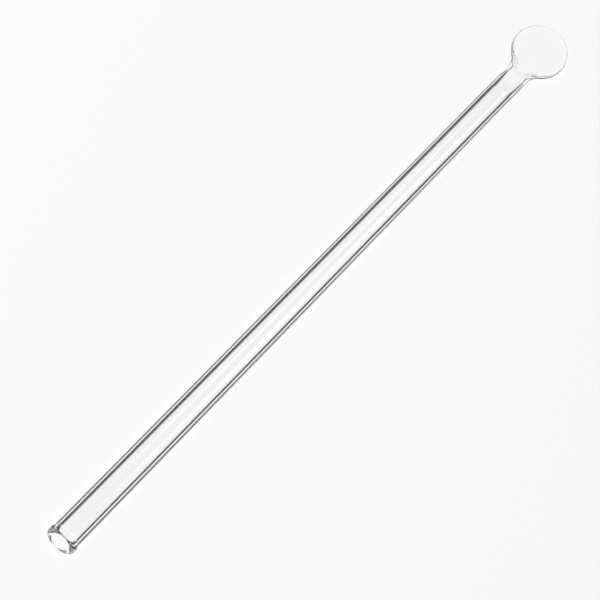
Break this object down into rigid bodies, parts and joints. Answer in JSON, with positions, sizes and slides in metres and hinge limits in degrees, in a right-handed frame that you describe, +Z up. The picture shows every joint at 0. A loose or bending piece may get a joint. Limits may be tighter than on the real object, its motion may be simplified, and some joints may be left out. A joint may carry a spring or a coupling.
{
  "type": "glass stirring rod",
  "caption": "Hollow clear glass stirring rod with an open, beaded mouth at one end and a flat oval paddle pressed at the other.",
  "frame": {"origin": "on the surface the rod lies on, below the middle of its length", "axes": "+X along the tube towards the paddle, +Z up, with the paddle's two faces level"},
  "size_m": [0.25, 0.018, 0.0086],
  "materials": {
    "glass": "clear drawn glass, fire-polished, with faint lengthwise draw lines"
  },
  "bodies": {
    "root": {"stirring_rod": "glass"}
  },
  "joints": []
}
